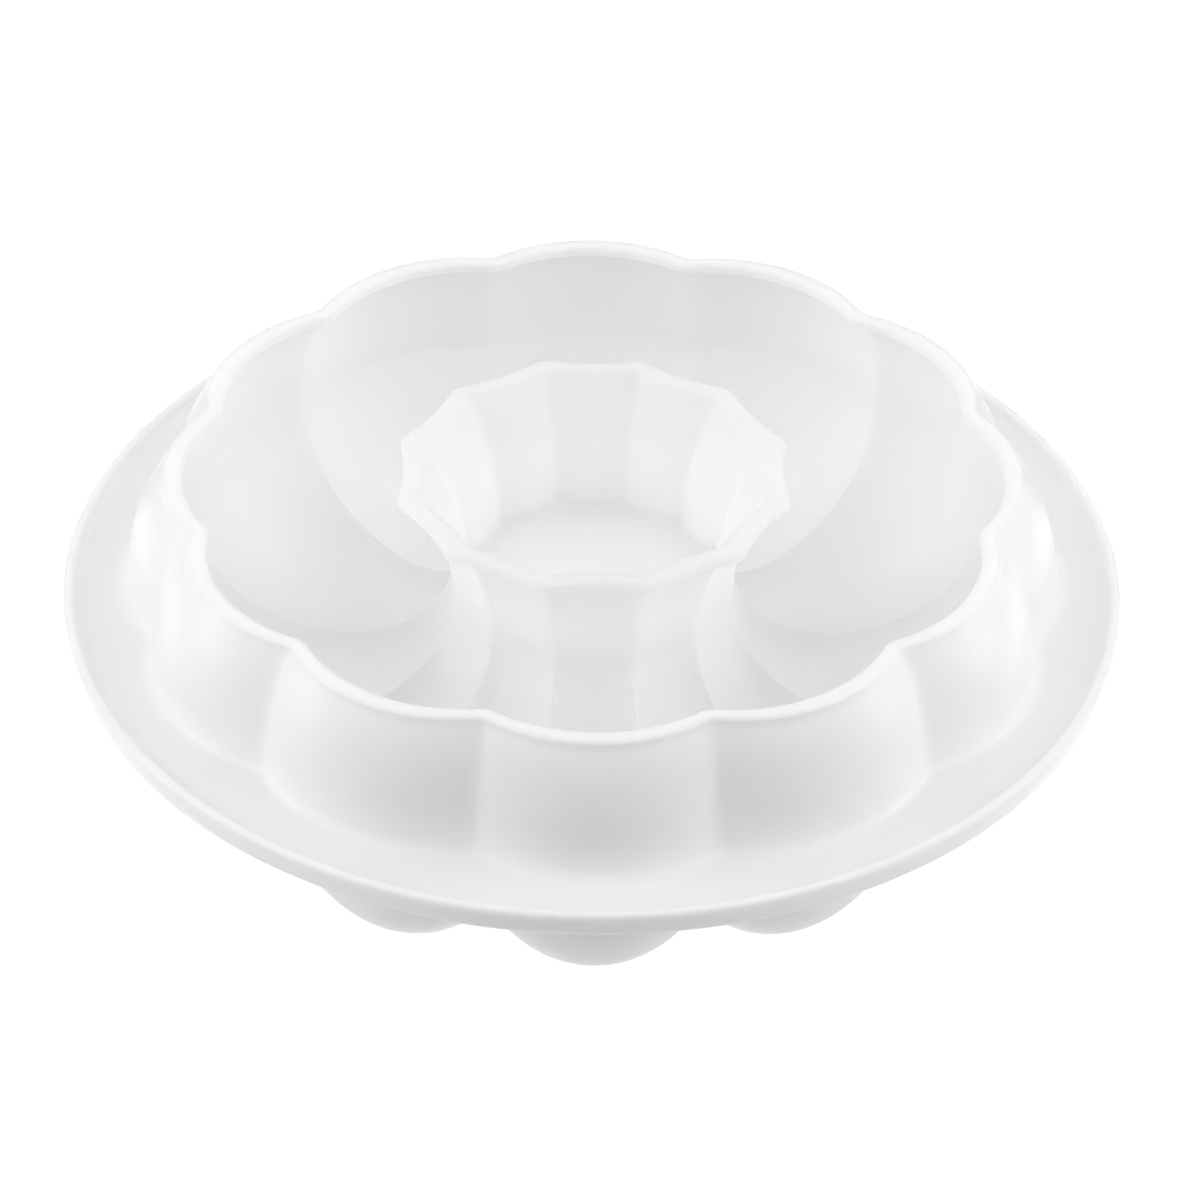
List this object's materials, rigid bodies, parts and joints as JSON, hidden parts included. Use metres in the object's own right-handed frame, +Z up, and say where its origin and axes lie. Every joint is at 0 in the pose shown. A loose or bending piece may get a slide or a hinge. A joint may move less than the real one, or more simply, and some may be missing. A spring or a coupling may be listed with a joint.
{
  "type": "mixing palette",
  "caption": "Round flower-shaped mixing palette in white plastic: a ring of rounded paint scoops in a standing petal wall, a saucer flange with a rolled lip and a fluted centre cup.",
  "frame": {"origin": "on the vertical axis of the flower, at the level of the feet of the scoops", "axes": "+Z up out of the cup and the scoops; -Y through the crest of one lobe"},
  "size_m": [0.172, 0.172, 0.0525],
  "materials": {
    "tray_plastic": "soft gloss white",
    "well_plastic": "soft gloss white",
    "cup_plastic": "soft gloss white"
  },
  "bodies": {
    "root": {"petal_tray": "tray_plastic", "well_ring": "well_plastic", "centre_cup": "cup_plastic"}
  },
  "joints": []
}
